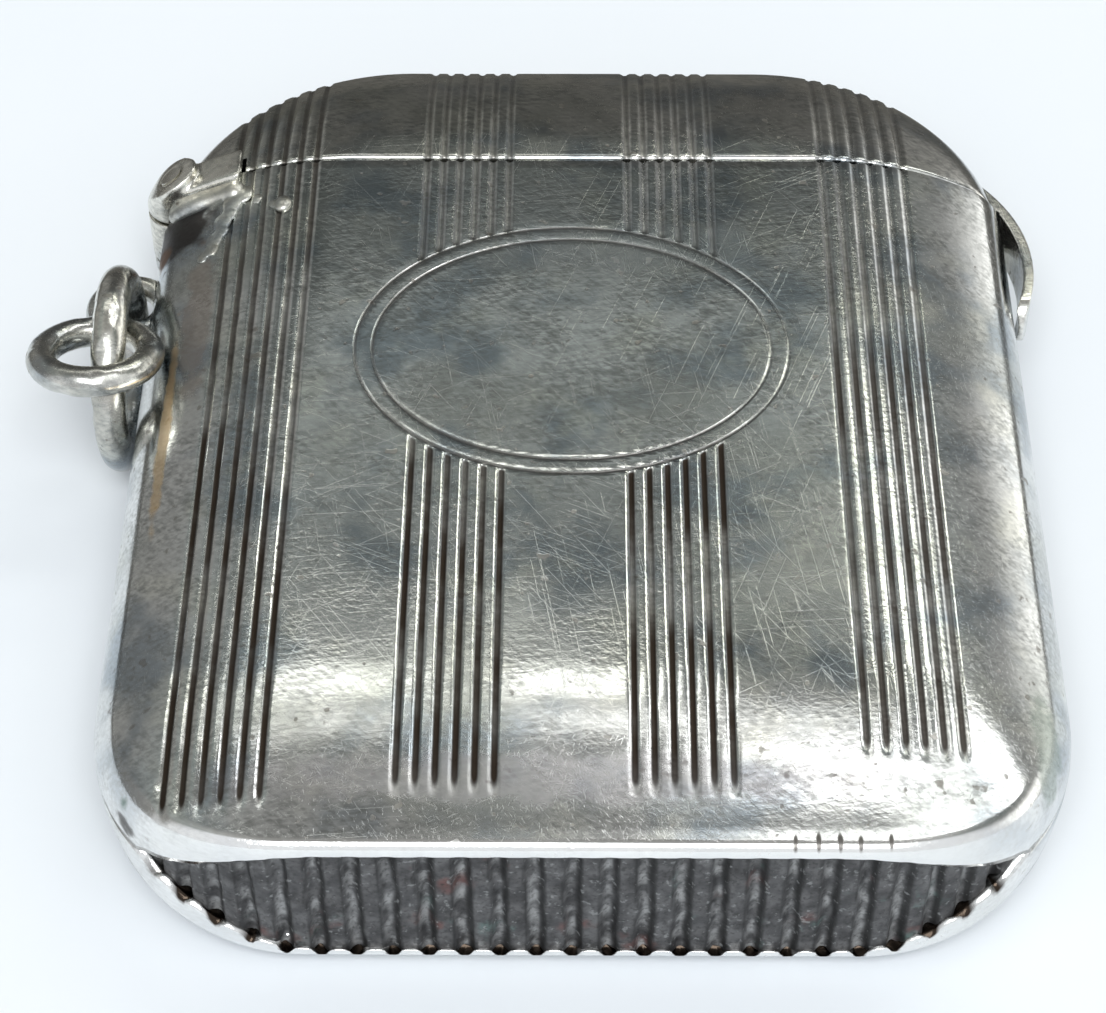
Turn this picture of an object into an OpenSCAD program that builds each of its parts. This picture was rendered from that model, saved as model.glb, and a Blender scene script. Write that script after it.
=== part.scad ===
// Pocket match safe: a flat silver case with a crowned front and back, a hinged lid,
// a fluted striker in the base, and a ring to hang it from a chain.
// Lies on its back: +Z is the front, +Y is the lid, +X is the thumbpiece. Sizes in mm.

/* [Case] */
// Width across the two sides
case_w = 41; // [36:0.5:48]
// Height from the base to the top of the lid
case_h = 49.6; // [46:0.2:56]
// Thickness at the flat middle
case_t = 9.4; // [8.6:0.2:11]
// Height of the lid above the seam
lid_h = 10.1; // [9.5:0.1:14]
// Gap between the lid and the body
seam_gap = 0.1; // [0.05:0.01:0.2]
// Thickness of the silver sheet
wall = 0.6; // [0.4:0.05:0.8]

/* [Edge] */
// Width of the curved edge beside the flat middle
edge_run = 9; // [8:0.5:10]
// Radius of the crown where it leaves the flat
crown_r = 15; // [13:0.5:17]
// Radius of the two top corners, seen from the front
lid_corner_r = 12; // [10:0.5:13]
// Radius of the two base corners, seen from the front
base_corner_r = 9.3; // [8:0.1:10]
// Length over which the front rolls down to the base
roll_run = 9; // [6:0.5:12]
// Drop of the front at the base
roll_drop = 0.8; // [0.5:0.1:1.2]
// Rounding of the base rim
rim_r = 0.5; // [0.3:0.05:0.6]

/* [Striker] */
// Width of the striker window, tip to tip
window_w = 35.8; // [31:0.2:36]
// Height of the striker window
window_t = 6.6; // [5.6:0.2:6.8]
// Length of each narrowing end of the window
window_run = 8; // [6:0.5:10]
// Radius of the narrowing ends of the window
window_crown = 13; // [12:0.5:16]
// Depth of the striker below the base rim
striker_recess = 0.2; // [0.1:0.05:0.4]
// Thickness of the base at the window
base_wall = 1.5; // [1.3:0.1:1.8]
// Number of flutes
flute_count = 25; // [17:2:25]
// Distance between flutes
flute_pitch = 1.46; // [1.3:0.02:1.5]
// Radius of a flute
flute_r = 0.72; // [0.6:0.02:0.8]
// Depth of a flute
flute_depth = 0.42; // [0.3:0.02:0.5]

/* [Mouth] */
// Height of the collar above the seam
collar_rise = 2; // [1.5:0.1:3]
// Height of the collar below the seam
collar_seat = 3; // [2:0.1:4]
// Thickness of the collar
collar_wall = 0.4; // [0.3:0.05:0.5]
// Gap between the collar and the lid
collar_gap = 0.25; // [0.2:0.05:0.4]

/* [Hinge] */
// Radius of the hinge barrel
barrel_r = 1.3; // [1.1:0.05:1.5]
// Height of the barrel's ends above the shoulder of the case
barrel_proud = 1.3; // [1:0.05:1.4]
// Length of the lid's knuckle
lid_knuckle_len = 2.6; // [2:0.1:3]
// Gap between knuckles
knuckle_gap = 0.1; // [0.05:0.01:0.15]
// Distance of the hinge axis inside the side of the case
hinge_inset = 0.6; // [0.4:0.05:0.8]
// Radius of the hinge pin
pin_r = 0.5; // [0.4:0.05:0.6]
// Clearance of the pin in the lid's knuckle
pin_clear = 0.04; // [0.02:0.01:0.08]
// Thickness of the saddles that hold the body's knuckles
saddle_t = 0.8; // [0.6:0.05:0.9]
// Reach of the saddles across the shoulder from the hinge axis
saddle_reach = 3.5; // [3:0.1:4.5]
// Height of the saddles below the seam
saddle_low = 1.25; // [1:0.05:1.6]
// Height of the saddles above the seam
saddle_high = 0.9; // [0.6:0.05:1.2]
// Thickness of the lid's hinge strap
strap_t = 0.45; // [0.3:0.05:0.5]
// Height of the lid's hinge strap above the seam
strap_h = 3.2; // [2.6:0.1:3.6]
// Depth of the flat on the lid's knuckle
cam_flat = 0.3; // [0.2:0.05:0.4]

/* [Thumbpiece] */
// Width of the thumbpiece through the thickness of the case
thumb_w = 2.6; // [2.2:0.2:3.6]
// Thickness of the thumbpiece
thumb_t = 0.5; // [0.4:0.05:0.7]
// Radius of the tongue's outward curve
thumb_r = 8.5; // [8:0.1:10]
// Reach of the tongue beyond the side of the case
thumb_out = 1.1; // [1:0.05:1.5]
// Distance of the tongue's widest point below the seam
thumb_drop = 3.6; // [3.2:0.1:4]
// Length of the tongue below the seam
thumb_tongue = 7; // [6:0.2:7.4]
// Gap between the tongue and the body
thumb_gap = 0.2; // [0.15:0.05:0.3]

/* [Rings] */
// Distance of the eye below the seam
eye_drop = 5.7; // [5.4:0.1:8]
// Radius of the eye's hole
eye_hole_r = 1.05; // [1.0:0.05:1.2]
// Thickness of the eye's wire
eye_wire = 1.1; // [0.9:0.05:1.2]
// Distance of the eye's middle outside the wall
eye_stand = 1.1; // [1.05:0.05:1.2]
// Radius of the suspension ring to the middle of its wire
ring_r = 4.05; // [3.9:0.05:4.05]
// Thickness of the suspension ring's wire
ring_wire = 1.6; // [1.4:0.05:1.6]
// Rise of the suspension ring's middle above the middle of the case
ring_rise = 0.2; // [0.2:0.05:0.4]
// Radius of the jump ring to the middle of its wire
jump_r = 2.45; // [2.4:0.05:2.5]
// Thickness of the jump ring's wire
jump_wire = 1.4; // [1.2:0.05:1.4]
// Place of the jump ring along the suspension ring, in degrees
jump_at = 128.4; // [126:0.2:131]
// Lean of the jump ring from lying flat
jump_lean = 17.1; // [15:0.1:19]
// Distance of the jump ring's centre outwards from the suspension ring's wire
jump_out = 0.62; // [0.55:0.01:0.7]
// Distance of the jump ring's centre upwards from the suspension ring's wire
jump_up = 0.33; // [0.25:0.01:0.4]

/* [Spring] */
// Thickness of the leaf spring
spring_t = 0.4; // [0.3:0.05:0.5]
// Width of the leaf spring
spring_w = 2.4; // [2:0.1:2.8]
// Length of the leaf spring
spring_len = 19; // [16:0.5:22]
// Length of the spring's soldered foot
spring_foot = 5; // [4:0.5:6]

/* [Hidden] */
$fa = 3;
$fs = 0.2;

silver = [0.62, 0.61, 0.57];
dark_silver = [0.2, 0.19, 0.18];
steel = [0.45, 0.45, 0.46];

half_w = case_w / 2;
half_h = case_h / 2;
half_t = case_t / 2;
seam_y = half_h - lid_h;
corner_x = half_w - edge_run;
top_x = half_w - lid_corner_r;
top_y = half_h - lid_corner_r;
corner_flat = lid_corner_r - edge_run;
far = 2 * case_h;
// openings and mouths run past the faces they open by this much
past = 1;

// the base corners are drawn from lines a little outside the sides
plan_out = 0.3;
plan_half_w = half_w + plan_out;
// the roll starts from a line a little above the flat
roll_lift = 0.02;
// side arcs and rims are a little fuller than the curves they close
side_ease = 0.01;
rim_ease = 0.01;
roll_r = (roll_run * roll_run + roll_drop * roll_drop) / (2 * roll_drop);
roll_y = -half_h + roll_run;
roll_z = half_t + roll_lift - roll_r;

hinge_x = -half_w + hinge_inset;
hinge_clear = 0.15;
lid_knuckle_low = half_t - lid_knuckle_len / 2;
lid_knuckle_high = half_t + lid_knuckle_len / 2;

eye_x = -half_w - eye_stand;
eye_y = seam_y - eye_drop;
ring_y = eye_y - ring_r;
ring_z = half_t + ring_rise;

// Radius of the tight side arc that closes the two crown arcs
function side_r(half_d, run, crown) = side_ease
    + (crown * crown - run * run - (crown - half_d) * (crown - half_d)) / (2 * (crown - run));

// Half of the curved edge, from the flat outwards: two crown arcs closed by a side arc
module half_edge(half_d, run, crown, inset) {
    side = side_r(half_d, run, crown);
    split = run - side + (side - inset) * (run - side) / (crown - side);
    intersection() {
        translate([0, half_d - crown]) circle(crown - inset);
        translate([0, crown - half_d]) circle(crown - inset);
        translate([0, -half_d]) square([split, 2 * half_d]);
    }
    translate([run - side, 0]) circle(side - inset);
}

// Whole section: flat in the middle with a curved edge on each side
module section(half_width, half_d, run, crown, inset) {
    flat = half_width - run;
    translate([-flat, -half_d + inset]) square([2 * flat, 2 * (half_d - inset)]);
    translate([flat, 0]) half_edge(half_d, run, crown, inset);
    mirror([1, 0]) translate([flat, 0]) half_edge(half_d, run, crown, inset);
}

module case_section(inset) {
    section(half_w, half_t, edge_run, crown_r, inset);
}

// The case section drawn out along the height of the case
module bar(inset, y_low, y_high) {
    translate([0, y_high, half_t]) rotate([90, 0, 0])
        linear_extrude(y_high - y_low) case_section(inset);
}

// Curved edge with the strip of flat that a top corner turns about
module corner_profile(inset) {
    translate([0, inset - half_t]) square([corner_flat, 2 * (half_t - inset)]);
    translate([corner_flat, 0]) half_edge(half_t, edge_run, crown_r, inset);
}

// Whole case, with the curved edge carried round both top corners
module case_form(inset) {
    bar(inset, -half_h - past, top_y);
    translate([top_x, top_y, half_t]) rotate_extrude(angle = 90) corner_profile(inset);
    translate([-top_x, top_y, half_t]) rotate([0, 0, 90])
        rotate_extrude(angle = 90) corner_profile(inset);
    translate([-top_x, top_y, half_t]) rotate([90, 0, 90])
        linear_extrude(2 * top_x) corner_profile(inset);
}

// The part of the case between two heights
module slab(inset, y_low, y_high) {
    intersection() {
        case_form(inset);
        translate([-case_w, y_low, -case_t]) cube([2 * case_w, y_high - y_low, 3 * case_t]);
    }
}

// Outline of the body seen from the front, with rounded base corners
module plan_outline(half_width, base, r) {
    translate([-half_width + r, base]) square([2 * (half_width - r), far]);
    translate([-half_width, base + r]) square([2 * half_width, far]);
    translate([half_width - r, base + r]) circle(r);
    translate([-half_width + r, base + r]) circle(r);
}

module plan(inset) {
    translate([0, 0, -past]) linear_extrude(case_t + 2 * past)
        plan_outline(plan_half_w - inset, -half_h + inset, base_corner_r - inset);
}

module inner_plan() {
    translate([0, 0, -past]) linear_extrude(case_t + 2 * past)
        plan_outline(plan_half_w - wall, -half_h + base_wall, base_corner_r - base_wall);
}

// Side view of the body: front and back roll towards the base, the rim is rounded
module roll_outline(inset) {
    intersection() {
        translate([roll_y, roll_z]) circle(roll_r - inset);
        translate([roll_y, -roll_z]) circle(roll_r - inset);
        translate([-half_h, -half_t]) square([roll_run, case_t]);
    }
    translate([roll_y, -case_t]) square([far, 2 * case_t]);
}

module rim_outline() {
    rim_z = roll_z + rim_ease + sqrt(pow(roll_r - rim_r, 2) - pow(roll_run - rim_r, 2));
    touch_y = roll_y - (roll_run - rim_r) * roll_r / (roll_r - rim_r);
    translate([-half_h + rim_r, rim_z]) circle(rim_r);
    translate([-half_h + rim_r, -rim_z]) circle(rim_r);
    translate([-half_h, -rim_z]) square([rim_r, 2 * rim_z]);
    translate([touch_y, -case_t]) square([far, 2 * case_t]);
}

module across() {
    translate([-case_w, 0, half_t]) rotate([90, 0, 90]) linear_extrude(2 * case_w) children();
}

module body_form() {
    intersection() {
        slab(0, -half_h - past, seam_y - seam_gap / 2);
        plan(0);
        across() intersection() {
            roll_outline(0);
            rim_outline();
        }
    }
}

module body_hollow() {
    intersection() {
        slab(wall, -half_h, seam_y + past);
        inner_plan();
        across() roll_outline(wall);
    }
}

module striker_window() {
    translate([0, base_corner_r - half_h, half_t]) rotate([90, 0, 0])
        linear_extrude(base_corner_r + past)
            section(window_w / 2, window_t / 2, window_run, window_crown, 0);
}

module hinge_post(r, z_low, z_high) {
    translate([hinge_x, seam_y, z_low]) cylinder(r = r, h = z_high - z_low);
}

module hinge_room() {
    hinge_post(barrel_r + hinge_clear, -past, case_t + past);
}

module front_half() {
    translate([-far / 2, -far / 2, half_t]) cube([far, far, case_t]);
}

module back_half() {
    translate([-far / 2, -far / 2, half_t - case_t]) cube([far, far, case_t]);
}

module body_shell() {
    difference() {
        body_form();
        body_hollow();
        striker_window();
        hinge_room();
    }
}

// Notch in the lid over each saddle
module saddle_room() {
    right = hinge_x + saddle_reach + hinge_clear;
    high = saddle_high + hinge_clear;
    for (z = [lid_knuckle_high, lid_knuckle_low - case_t])
        translate([right - edge_run, seam_y - past, z]) cube([edge_run, high + past, case_t]);
}

module lid_shell() {
    difference() {
        slab(0, seam_y + seam_gap / 2, half_h + past);
        slab(wall, seam_y - past, half_h + past);
        hinge_room();
        saddle_room();
    }
}

module front_shell() {
    color(silver) intersection() {
        body_shell();
        front_half();
    }
}

module back_shell() {
    color(silver) intersection() {
        body_shell();
        back_half();
    }
}

// Place and turn of a flute at a distance s along the striker from its middle
module at_flute(s) {
    straight = plan_half_w - base_corner_r;
    bend_r = base_corner_r - striker_recess;
    turn = max(abs(s) - straight, 0) / bend_r * 180 / PI;
    side = s < 0 ? -1 : 1;
    reach = bend_r + flute_r - flute_depth;
    x = side * (min(abs(s), straight) + reach * sin(turn));
    y = -half_h + base_corner_r - reach * cos(turn);
    translate([x, y, 0]) children();
}

module striker_plate() {
    color(dark_silver) difference() {
        intersection() {
            striker_window();
            plan(striker_recess);
        }
        inner_plan();
        for (i = [0 : flute_count - 1])
            at_flute((i - (flute_count - 1) / 2) * flute_pitch)
                cylinder(r = flute_r, h = case_t);
    }
}

// Thin collar in the mouth, open at the hinge side; its upper part enters the lid
module mouth_collar() {
    neck = wall + collar_gap;
    inner = neck + collar_wall;
    color(silver) difference() {
        union() {
            slab(wall, seam_y - collar_seat, seam_y - seam_gap);
            slab(neck, seam_y - collar_seat, seam_y + collar_rise);
        }
        slab(inner, seam_y - collar_seat - past, seam_y + collar_rise + past);
        translate([-half_w, 0, 0]) cube([edge_run / 2, half_h, case_t]);
    }
}

// Saddle that lies on the shoulder of the body beside the hinge
module saddle(z_low, z_high) {
    intersection() {
        difference() {
            slab(-saddle_t, seam_y - saddle_low, seam_y + saddle_high);
            case_form(0);
        }
        translate([hinge_x, 0, z_low]) cube([saddle_reach, half_h, z_high - z_low]);
    }
}

module body_knuckle(z_low, z_high) {
    difference() {
        union() {
            intersection() {
                hinge_post(barrel_r, z_low, z_high);
                case_form(-barrel_proud);
            }
            saddle(z_low, z_high);
        }
        hinge_post(pin_r, -case_t, 2 * case_t);
    }
}

module front_knuckle() {
    color(silver) body_knuckle(lid_knuckle_high + knuckle_gap, 2 * case_t);
}

module back_knuckle() {
    color(silver) body_knuckle(-case_t, lid_knuckle_low - knuckle_gap);
}

// Pin with its ends dressed to the ends of the barrel
module hinge_pin() {
    color(silver) intersection() {
        hinge_post(pin_r, -case_t, 2 * case_t);
        case_form(-barrel_proud);
    }
}

// Middle knuckle with a strap up the side of the lid; a flat faces the spring
module lid_knuckle() {
    color(silver) difference() {
        union() {
            hinge_post(barrel_r, lid_knuckle_low, lid_knuckle_high);
            intersection() {
                difference() {
                    slab(-strap_t, seam_y, seam_y + strap_h);
                    case_form(0);
                }
                translate([-half_w - edge_run / 2, 0, lid_knuckle_low])
                    cube([edge_run, case_h, lid_knuckle_len]);
            }
        }
        hinge_post(pin_r + pin_clear, 0, case_t);
        translate([hinge_x + barrel_r - cam_flat, 0, 0]) cube([case_w, case_h, case_t]);
    }
}

// Springy strip along the side, soldered by its foot, its tip beside the lid's knuckle
module lid_spring() {
    side = side_r(half_t, edge_run, crown_r);
    foot_x = side - half_w - sqrt(pow(side - wall, 2) - pow(spring_w / 2, 2));
    tip_x = hinge_x + barrel_r + hinge_clear;
    tip_y = seam_y - seam_gap;
    foot_y = tip_y - spring_len;
    bend_y = foot_y + spring_foot;
    color(steel) translate([0, 0, half_t - spring_w / 2]) linear_extrude(spring_w) polygon([
        [foot_x, foot_y],
        [foot_x + spring_t, foot_y],
        [foot_x + spring_t, bend_y],
        [tip_x + spring_t, tip_y],
        [tip_x, tip_y],
        [foot_x, bend_y]
    ]);
}

module torus(r, wire) {
    rotate_extrude() translate([r, 0]) circle(d = wire);
}

// Wire loop soldered to the side of the body
module suspension_eye() {
    color(silver) difference() {
        translate([eye_x, eye_y, half_t]) torus(eye_hole_r + eye_wire / 2, eye_wire);
        bar(0, -half_h, half_h);
    }
}

module lid_front_shell() {
    color(silver) intersection() {
        lid_shell();
        front_half();
    }
}

module lid_back_shell() {
    color(silver) intersection() {
        lid_shell();
        back_half();
    }
}

// Curved tongue: springs from the lid's side just above the seam and stands off the body
module thumbpiece() {
    arc_x = half_w + thumb_out - thumb_r;
    arc_y = seam_y - thumb_drop;
    tip_y = seam_y - thumb_tongue + thumb_w / 2;
    color(silver) difference() {
        intersection() {
            translate([arc_x, arc_y, half_t - thumb_w]) difference() {
                cylinder(r = thumb_r, h = 2 * thumb_w);
                translate([0, 0, -past]) cylinder(r = thumb_r - thumb_t, h = 2 * (thumb_w + past));
            }
            translate([corner_x, 0, half_t]) rotate([90, 0, 90]) linear_extrude(case_w) {
                translate([tip_y, 0]) circle(d = thumb_w);
                translate([tip_y, -thumb_w / 2]) square([case_h, thumb_w]);
            }
        }
        case_form(0);
        slab(-thumb_gap, -half_h, seam_y + seam_gap / 2);
    }
}

module suspension_ring() {
    color(silver) translate([eye_x, ring_y, ring_z]) rotate([0, 90, 0]) torus(ring_r, ring_wire);
}

module jump_ring() {
    link_y = ring_y + ring_r * cos(jump_at);
    link_z = ring_z + ring_r * sin(jump_at);
    color(silver) translate([eye_x, link_y, link_z]) rotate([-jump_lean, 0, 0])
        translate([-jump_out, jump_up, 0]) torus(jump_r, jump_wire);
}

front_shell();
back_shell();
striker_plate();
mouth_collar();
front_knuckle();
back_knuckle();
hinge_pin();
lid_spring();
suspension_eye();
lid_front_shell();
lid_back_shell();
lid_knuckle();
thumbpiece();
suspension_ring();
jump_ring();
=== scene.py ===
import math

import bmesh
import bpy
import numpy as np
from mathutils import Matrix, Vector


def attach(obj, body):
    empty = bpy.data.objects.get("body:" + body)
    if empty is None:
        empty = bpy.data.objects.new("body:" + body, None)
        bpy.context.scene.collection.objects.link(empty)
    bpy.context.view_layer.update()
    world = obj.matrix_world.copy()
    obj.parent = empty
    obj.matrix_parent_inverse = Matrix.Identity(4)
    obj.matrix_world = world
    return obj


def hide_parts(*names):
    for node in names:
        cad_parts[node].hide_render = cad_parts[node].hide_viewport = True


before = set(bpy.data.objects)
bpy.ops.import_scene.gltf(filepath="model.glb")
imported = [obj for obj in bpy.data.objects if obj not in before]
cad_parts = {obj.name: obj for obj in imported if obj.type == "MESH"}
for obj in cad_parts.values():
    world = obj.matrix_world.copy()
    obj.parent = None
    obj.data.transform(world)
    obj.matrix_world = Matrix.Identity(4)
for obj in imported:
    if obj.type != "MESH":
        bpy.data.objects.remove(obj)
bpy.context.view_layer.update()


# Front shell of the body: one half of the case, pressed from thin sterling sheet over a former, so
# that a flat middle runs into crowned shoulders and round sides. Bands of lines and an oval are cut
# in it on the engine-turning lathe, and its lower edge is dressed to a rim over the striker.
MM = 0.001
HALF_W, HALF_H, MID_Z = 20.5, 24.8, 4.7
SEAM_Y, SEAM_GAP = 14.7, 0.1
SHEET = 0.6
EDGE_RUN, CROWN_R, SIDE_R, CROWN_END = 9.0, 15.0, 3.159, 7.399
CORNER_X, CORNER_Y = HALF_W - EDGE_RUN, EDGE_RUN - HALF_H
CORNER_BULGE = 0.026
ROLL_R, RIM_R = 51.025, 0.55
WINDOW_HALF_W, WINDOW_HALF_T, WINDOW_RUN, WINDOW_CROWN = 17.9, 3.3, 8.0, 13.0
FLUTE_PITCH, FLUTE_MIDDLE = 1.469, -0.37
LINES, LINE_PITCH, LINE_W, LINE_DEPTH = 6, 0.786, 0.4, 0.1
RING_STEP = LINE_PITCH / 8
ENGRAVED_MIDDLE, INNER_SPREAD, OUTER_SPREAD = -0.7, 4.77, 14.05
OVAL_X, OVAL_Y, OVAL_HALF_W, OVAL_HALF_H = -0.5, 2.1, 9.78, 7.74
OVAL_LINE, OVAL_RELIEF, OVAL_DIRT, OVAL_BUMP = 0.21, 0.25, 0.7, -12.0
MOUTH_ROUND, JOINT_ROUND, LINING_LIFT = 0.14, 0.05, 0.05
FRONT_SCALLOP, SOOT_FROM, SOOT_WINDOW = 0.05, 0.2, 0.4
ROLL_RINGS, RIM_RINGS, WALL_RINGS, CORNER_SECTORS = 3, 8, 4, 72
SIDE_RINGS = ROLL_RINGS + RIM_RINGS + WALL_RINGS
MARKS, SKIN_MARKS, LINING_MARKS = 4, slice(3, 5), slice(5, 7)
WELD_STEPS = 5000


def edge_rings(step):
    """Run, height and outward lean of the crowned edge, from the flat to the joint of the shells."""
    run = np.arange(0, CROWN_END, step)
    rise = np.sqrt(CROWN_R ** 2 - run ** 2) - CROWN_R + MID_Z
    start = math.asin((CROWN_END - EDGE_RUN + SIDE_R) / SIDE_R)
    turn = np.linspace(start, math.pi / 2, SIDE_RINGS)
    lean = np.concatenate([run / CROWN_R, np.sin(turn)])
    run = np.concatenate([run, EDGE_RUN - SIDE_R + SIDE_R * np.sin(turn)])
    return run, np.concatenate([rise, SIDE_R * np.cos(turn)]), lean


def window_half(x):
    """Half height of the striker's window at a distance from the middle of the base."""
    over = max(abs(x) - WINDOW_HALF_W + WINDOW_RUN, 0)
    gap = WINDOW_CROWN - WINDOW_HALF_T
    tip = (WINDOW_CROWN ** 2 - WINDOW_RUN ** 2 - gap ** 2) / (2 * (WINDOW_CROWN - WINDOW_RUN))
    if over < WINDOW_RUN - tip + tip * (WINDOW_RUN - tip) / (WINDOW_CROWN - tip):
        return math.sqrt(WINDOW_CROWN ** 2 - over ** 2) - gap
    return math.sqrt(max(tip ** 2 - (over - WINDOW_RUN + tip) ** 2, 0))


def base_rings(x, along, scallop):
    """Run and height of the roll towards the base, its rim and the wall to the window, with its marks:
    soot, rubbing, and the foot and the soot of the lining behind."""
    roll = np.arange(0, CROWN_END, RING_STEP)
    roll = np.concatenate([roll, np.linspace(CROWN_END, EDGE_RUN - RIM_R, ROLL_RINGS)])
    rise = np.sqrt(ROLL_R ** 2 - roll ** 2) - ROLL_R + MID_Z
    turn = np.linspace(math.asin(roll[-1] / ROLL_R), math.pi / 2, RIM_RINGS + 1)[1:]
    rim_z = rise[-1] - RIM_R * math.cos(turn[0])
    window = window_half(x)
    wave = max(math.cos((along - FLUTE_MIDDLE) / FLUTE_PITCH * 2 * math.pi), 0)
    foot = window + scallop * wave * min(window, 1)
    wall = rim_z + (min(foot, rim_z - JOINT_ROUND) - rim_z) * np.linspace(0, 1, WALL_RINGS + 1)[1:]
    run = np.concatenate([roll, EDGE_RUN - RIM_R + RIM_R * np.sin(turn), np.full(WALL_RINGS, EDGE_RUN)])
    rise = np.concatenate([rise, rim_z + RIM_R * np.cos(turn), wall])
    notch_run = EDGE_RUN - RIM_R + math.sqrt(RIM_R ** 2 - max(foot - rim_z, 0) ** 2)
    run = np.where(rise < foot, np.minimum(run, notch_run), run)
    sooty = np.clip(window - SOOT_WINDOW, 0, 1) * (scallop > SOOT_FROM)
    marks = np.zeros((len(run), MARKS))
    marks[:, 0] = np.where(rise <= foot, wave * sooty, 0)
    marks[len(roll):, 1] = 1
    marks[:, 2] = window + scallop * min(window, 1) + LINING_LIFT
    marks[:, 3] = sooty
    return run, np.maximum(rise, foot), marks


def body_patches(columns, rows, scallop):
    """Patches of the body's outer surface: middle, sides, base corners and the roll to the base.
    Each point of the last two holds its place, then the marks of the skin and of the lining behind it."""
    run, rise, lean = edge_rings(RING_STEP)
    near = np.clip(rows - SEAM_Y + SEAM_GAP / 2 + MOUTH_ROUND, 0, MOUTH_ROUND)
    drop = (MOUTH_ROUND - np.sqrt(MOUTH_ROUND ** 2 - near ** 2))[:, None]
    upright = np.sqrt(np.clip(1 - lean ** 2, 0, 1))
    over = np.ones((len(rows), 1))
    patches = {"middle": np.stack([over * columns, rows[:, None] + 0 * columns,
                                   MID_Z - drop + 0 * columns], axis=2)}
    for name, way in (("left", -1), ("right", 1)):
        side = np.stack([way * (CORNER_X + run - drop * lean), rows[:, None] + 0 * run,
                         rise - drop * upright], axis=2)
        side[:, -1, 0] -= way * JOINT_ROUND
        corner = np.zeros((CORNER_SECTORS + 1, len(run), 3 + MARKS))
        for m in range(CORNER_SECTORS + 1):
            part = m / CORNER_SECTORS
            turn = math.pi / 2 * part
            blend = part * part * (3 - 2 * part)
            x = way * (CORNER_X + EDGE_RUN * math.cos(turn))
            along = way * (CORNER_X + EDGE_RUN * (math.pi / 2 - turn))
            base_run, base_rise, marks = base_rings(x, along, scallop)
            out = run * (1 - blend) + base_run * blend
            out = out * (1 + CORNER_BULGE * math.sin(2 * turn) ** 2 * (out / EDGE_RUN) ** 2)
            out[-1] -= JOINT_ROUND
            corner[m, :, 0] = way * (CORNER_X + out * math.cos(turn))
            corner[m, :, 1] = CORNER_Y - out * math.sin(turn)
            corner[m, :, 2] = rise * (1 - blend) + base_rise * blend
            corner[m, :, 3:] = marks * (1, blend, blend, 1)
        patches[name], patches[name + "_corner"] = side, corner
    base = np.zeros((len(columns), len(run), 3 + MARKS))
    for j, x in enumerate(columns):
        base_run, base_rise, marks = base_rings(x, x, scallop)
        base_run[-1] -= JOINT_ROUND
        base[j, :, :3] = np.stack([0 * base_run + x, CORNER_Y - base_run, base_rise], axis=1)
        base[j, :, 3:] = marks
    patches["base"] = base
    return patches


BODY_EDGE = (("left", 0, None), ("middle", 0, None), ("right", 0, None), ("right", None, -1),
             ("right_corner", None, -1), ("base", None, -1), ("left_corner", None, -1), ("left", None, -1))


def shell(name, patches, edge, thinning, lining, way):
    """A closed shell: the outer surface, a plainer lining inside it, and the edge between them."""
    points, marks, faces, known = [], [], [], {}

    def place(p, side):
        key = (side, *(round(c * WELD_STEPS) for c in p[:3]))
        if key not in known:
            known[key] = len(points)
            points.append((p[0] * MM, p[1] * MM, (MID_Z + way * p[2]) * MM))
            marks.append(p[SKIN_MARKS] if len(p) > 3 else (0.0, 0.0))
        return known[key]

    def face(corners):
        ring = [c for i, c in enumerate(corners) if c != corners[i - 1]]
        if len(set(ring)) > 2:
            faces.append(ring)

    def lay(grid, side):
        index = [[place(p, side) for p in row] for row in grid]
        for low, high in zip(index, index[1:]):
            for j in range(len(low) - 1):
                face([low[j], low[j + 1], high[j + 1], high[j]])
        return np.array(index)

    outer = {key: lay(grid, "outer") for key, grid in patches.items()}
    skin_count = len(points)
    inner, kept = {}, {}
    for key, grid in patches.items():
        kept[key] = [np.unique(np.append(np.arange(0, n, t), n - 1))
                     for n, t in zip(grid.shape, thinning[key])]
        inner[key] = lay(lining(grid)[np.ix_(*kept[key])], "inner")
    for key, row, column in edge:
        pick = (row if row is not None else slice(None), column if column is not None else slice(None))
        far = outer[key][pick]
        near = inner[key][pick]
        stops = kept[key][0 if row is None else 1]
        for a in range(len(stops) - 1):
            rim = list(far[stops[a]:stops[a + 1] + 1])
            face(rim + [near[a + 1], near[a]])
    mesh = bpy.data.meshes.new(name)
    mesh.from_pydata(points, [], faces)
    skin = mesh.attributes.new("skin", "FLOAT", "POINT")
    skin.data.foreach_set("value", [1.0] * skin_count + [0.0] * (len(points) - skin_count))
    for key, values in zip(("soot", "rubbed"), zip(*marks)):
        mesh.attributes.new(key, "FLOAT", "POINT").data.foreach_set("value", values)
    outward(mesh)
    piece = bpy.data.objects.new(name, mesh)
    bpy.context.scene.collection.objects.link(piece)
    return piece


def outward(mesh):
    """Turns all faces of a closed mesh outwards and shades it smoothly."""
    work = bmesh.new()
    work.from_mesh(mesh)
    bmesh.ops.recalc_face_normals(work, faces=work.faces)
    work.to_mesh(mesh)
    work.free()
    mesh.shade_smooth()


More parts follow.
